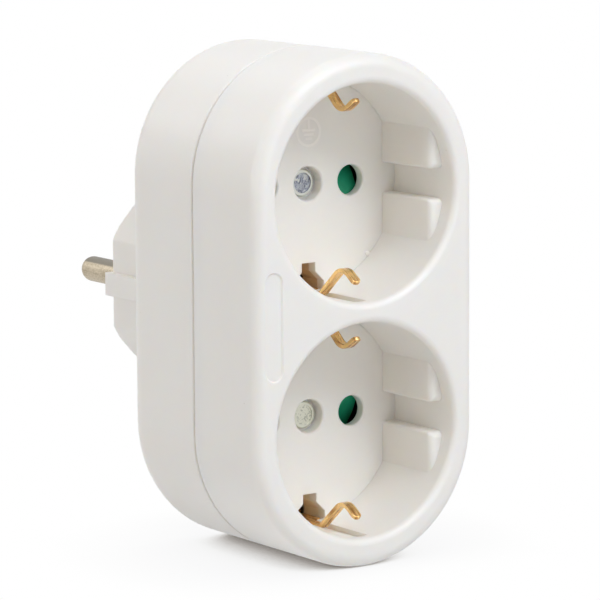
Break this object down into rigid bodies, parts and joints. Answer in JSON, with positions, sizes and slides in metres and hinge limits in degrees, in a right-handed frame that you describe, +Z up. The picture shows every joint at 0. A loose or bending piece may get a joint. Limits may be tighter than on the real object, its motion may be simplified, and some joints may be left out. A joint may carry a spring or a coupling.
{
  "type": "multi socket adapter",
  "caption": "Upright mains adapter with a round-ended body, deep earthed sockets in front, spring-closed shutters behind their pin holes and an earthed plug with round pins at the back.",
  "frame": {"origin": "midway between the plug pins, on the end face of the plug", "axes": "+Y along the plug pins towards their tips, +Z up along the body's height, +X to the right seen from the sockets"},
  "size_m": [0.0476, 0.0779, 0.0922],
  "materials": {
    "white_plastic": "smooth satin moulding",
    "pin_nickel": "turned, dull nickel plate",
    "contact_brass": "rolled strip",
    "rivet_steel": "zinc plated, rough set end",
    "shutter_green": "smooth moulding",
    "spring_steel": "drawn wire"
  },
  "bodies": {
    "housing": {"front_cover": "white_plastic", "rear_cover": "white_plastic", "plug_pin_left": "pin_nickel", "plug_pin_right": "pin_nickel", "bus_bar_left": "contact_brass", "bus_bar_right": "contact_brass", "upper_earth_bracket": "contact_brass", "lower_earth_bracket": "contact_brass", "earth_rail": "contact_brass", "plug_earth_strap": "contact_brass", "earth_rivet": "rivet_steel", "upper_cover_rivet": "rivet_steel", "lower_cover_rivet": "rivet_steel", "upper_shutter_spring": "spring_steel", "lower_shutter_spring": "spring_steel"},
    "upper_shutter": {"upper_shutter": "shutter_green"},
    "lower_shutter": {"lower_shutter": "shutter_green"}
  },
  "joints": [
    {"name": "upper_shutter_turn", "type": "hinge", "parent": "housing", "child": "upper_shutter", "pos_m": [0, -0.03555, 0.0213], "axis": [0, 1, 0], "range_deg": [0, 36], "stiffness_Nm_per_rad": 0.0037, "springref_deg": -14.32, "deforming": ["upper_shutter_spring"]},
    {"name": "lower_shutter_turn", "type": "hinge", "parent": "housing", "child": "lower_shutter", "pos_m": [0, -0.03555, -0.0213], "axis": [0, -1, 0], "range_deg": [0, 36], "stiffness_Nm_per_rad": 0.0037, "springref_deg": -14.32, "deforming": ["lower_shutter_spring"]}
  ]
}
